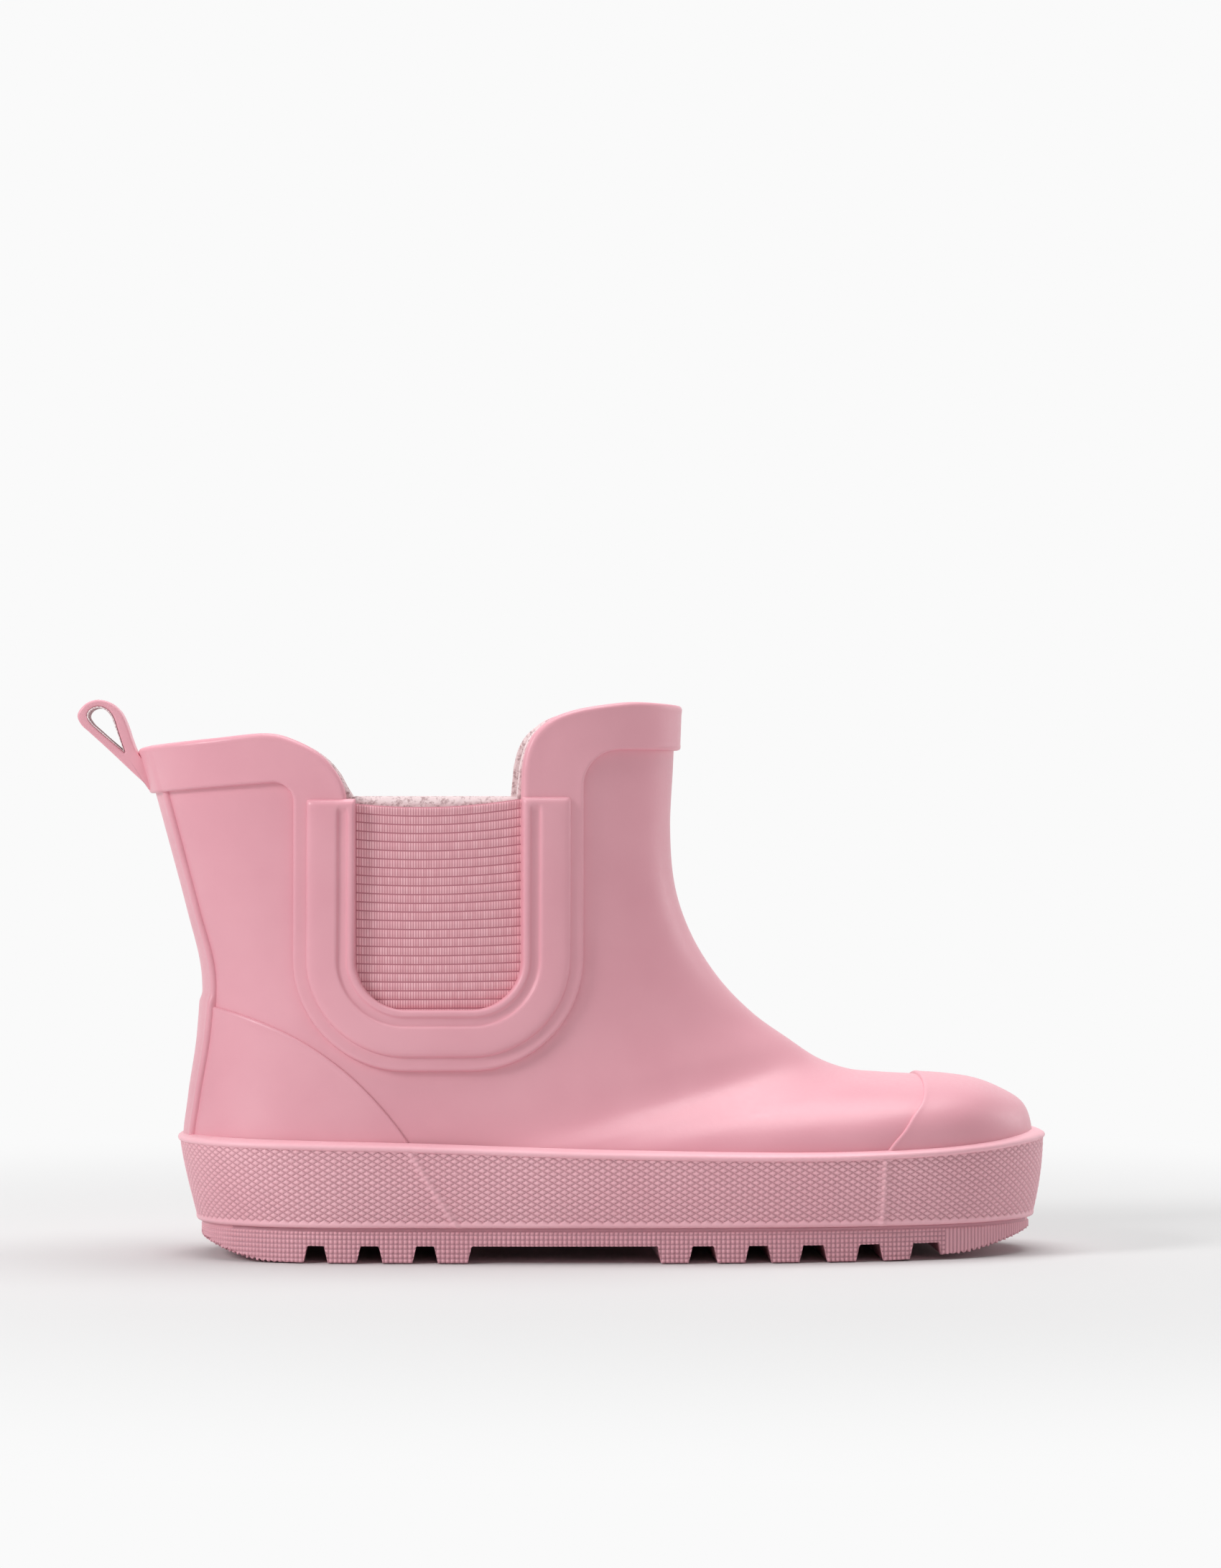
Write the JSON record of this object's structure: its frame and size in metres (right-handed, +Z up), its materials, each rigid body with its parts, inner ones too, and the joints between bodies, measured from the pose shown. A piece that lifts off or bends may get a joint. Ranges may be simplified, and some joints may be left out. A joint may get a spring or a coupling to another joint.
{
  "type": "child's ankle-high rubber rain boot",
  "caption": "Child's right-foot ankle rain boot in laid-up rubber, with elastic side gores in U frames, a back pull loop, a relief sidewall and a lugged outsole.",
  "frame": {"origin": "on the floor, below the middle of the whole boot, pull loop included", "axes": "+X to the toe, +Z up, -Y to the outer side of the foot"},
  "size_m": [0.2178, 0.0794, 0.1238],
  "materials": {
    "upper_rubber": "satin, hand-laid pink natural rubber",
    "sidewall_rubber": "satin pink rubber, pressed diamond relief",
    "outsole_rubber": "matte pink rubber, fine square grid on its edge",
    "gore_webbing": "ribbed elastic webbing",
    "lining_knit": "brushed mottled cotton knit",
    "loop_tape": "woven cotton tape",
    "board": "pressed fibre board",
    "foam": "open-cell foam",
    "sponge_rubber": "sponge rubber",
    "stiffener": "stiffened fibre sheet"
  },
  "bodies": {
    "boot": {"outsole": "outsole_rubber", "midsole_filler": "sponge_rubber", "foxing": "sidewall_rubber", "foxing_bead": "sidewall_rubber", "insole_board": "board", "lining_sole": "lining_knit", "upper_shell": "upper_rubber", "topline_trim": "upper_rubber", "gore_frame_outer": "upper_rubber", "gore_frame_inner": "upper_rubber", "gore_elastic_outer": "gore_webbing", "gore_elastic_inner": "gore_webbing", "lining_outer": "lining_knit", "lining_inner": "lining_knit", "heel_stiffener": "stiffener", "heel_counter": "upper_rubber", "toe_cap": "upper_rubber", "back_stay": "upper_rubber", "loop_anchor": "upper_rubber"},
    "loop": {"pull_loop": "upper_rubber", "pull_loop_tape": "loop_tape"},
    "footbed": {"footbed_foam": "foam", "footbed_cover": "lining_knit"}
  },
  "joints": [
    {"name": "loop_bend", "type": "hinge", "parent": "boot", "child": "loop", "pos_m": [-0.09536, -0.00193, 0.108], "axis": [0, 1, 0], "range_deg": [-50, 18], "stiffness_Nm_per_rad": 0.02},
    {"name": "footbed_lift", "type": "hinge", "parent": "boot", "child": "footbed", "pos_m": [0.0991, -0.00193, 0.0152], "axis": [0, 1, 0], "range_deg": [0, 4]}
  ]
}
